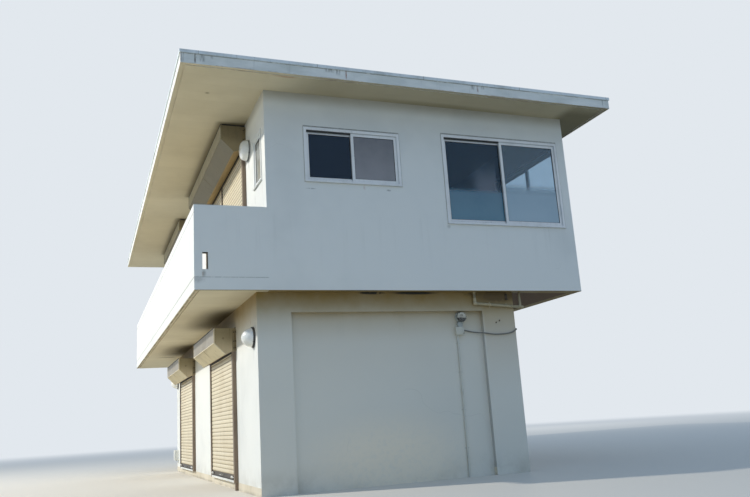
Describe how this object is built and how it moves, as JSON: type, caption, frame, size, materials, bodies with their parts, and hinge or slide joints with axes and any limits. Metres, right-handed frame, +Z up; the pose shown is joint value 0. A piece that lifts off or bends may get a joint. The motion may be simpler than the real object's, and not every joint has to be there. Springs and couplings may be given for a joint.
{
  "type": "lifeguard tower",
  "caption": "Flat-roofed lifeguard tower of painted concrete: a set-in ground storey with roller shutters below a wider storey with a balcony and sliding windows.",
  "frame": {"origin": "centre of the roof in plan, at ground level", "axes": "+Z up, +Y from the front wall to the back, +X from the balcony side to the far side"},
  "size_m": [7.62, 14.15, 6.42],
  "materials": {
    "painted_wall": "white masonry paint on concrete, matt, lightly stained",
    "painted_soffit": "off-white masonry paint on concrete, matt, with grey stains",
    "bare_concrete": "bare cast concrete",
    "roof_trim": "weathered grey-white edge capping",
    "slats": "satin beige enamel on steel slats",
    "housing": "satin beige enamel on sheet steel",
    "guide_metal": "dark brown anodised",
    "barrel_steel": "galvanised",
    "window_metal": "silver anodised",
    "window_glass": "clear, dark room behind",
    "lamp_base": "weathered grey",
    "lamp_glass": "opal white",
    "meter_grey": "grey",
    "cable_black": "matt black sheath",
    "pipe_cream": "cream",
    "pipe_dark": "dark grey",
    "box_white": "white"
  },
  "bodies": {
    "root": {"ground_columns": "painted_wall", "ground_beams": "painted_wall", "end_panels": "painted_wall", "lower_left_piers": "painted_wall", "lower_left_header": "painted_wall", "lower_right_wall": "painted_wall", "balcony_parapet": "painted_wall", "balcony_front_end": "painted_wall", "balcony_back_end": "painted_wall", "upper_front_wall": "painted_wall", "upper_left_piers": "painted_wall", "upper_left_header": "painted_wall", "upper_right_wall": "painted_wall", "upper_back_wall": "painted_wall", "door_sills": "painted_wall", "balcony_slab": "painted_soffit", "upper_floor": "painted_soffit", "roof_slab": "painted_soffit", "ground_slab": "bare_concrete", "roof_capping": "roof_trim", "ground_shutters": "slats", "balcony_shutters": "slats", "ground_shutter_boxes": "housing", "balcony_shutter_boxes": "housing", "ground_shutter_guides": "guide_metal", "balcony_shutter_guides": "guide_metal", "shutter_bottom_bars": "guide_metal", "shutter_barrels": "barrel_steel", "front_window_frames": "window_metal", "front_window_sashes": "window_metal", "side_window_frame": "window_metal", "rear_window_frames": "window_metal", "rear_window_sashes": "window_metal", "front_window_glass": "window_glass", "side_window_glass": "window_glass", "rear_window_glass": "window_glass", "lamp_bases": "lamp_base", "lamp_domes": "lamp_glass", "electric_meter": "meter_grey", "meter_conduit": "meter_grey", "meter_cable": "cable_black", "drain_pipe": "pipe_cream", "downpipe": "pipe_dark", "outlet_box": "box_white"}
  },
  "joints": []
}
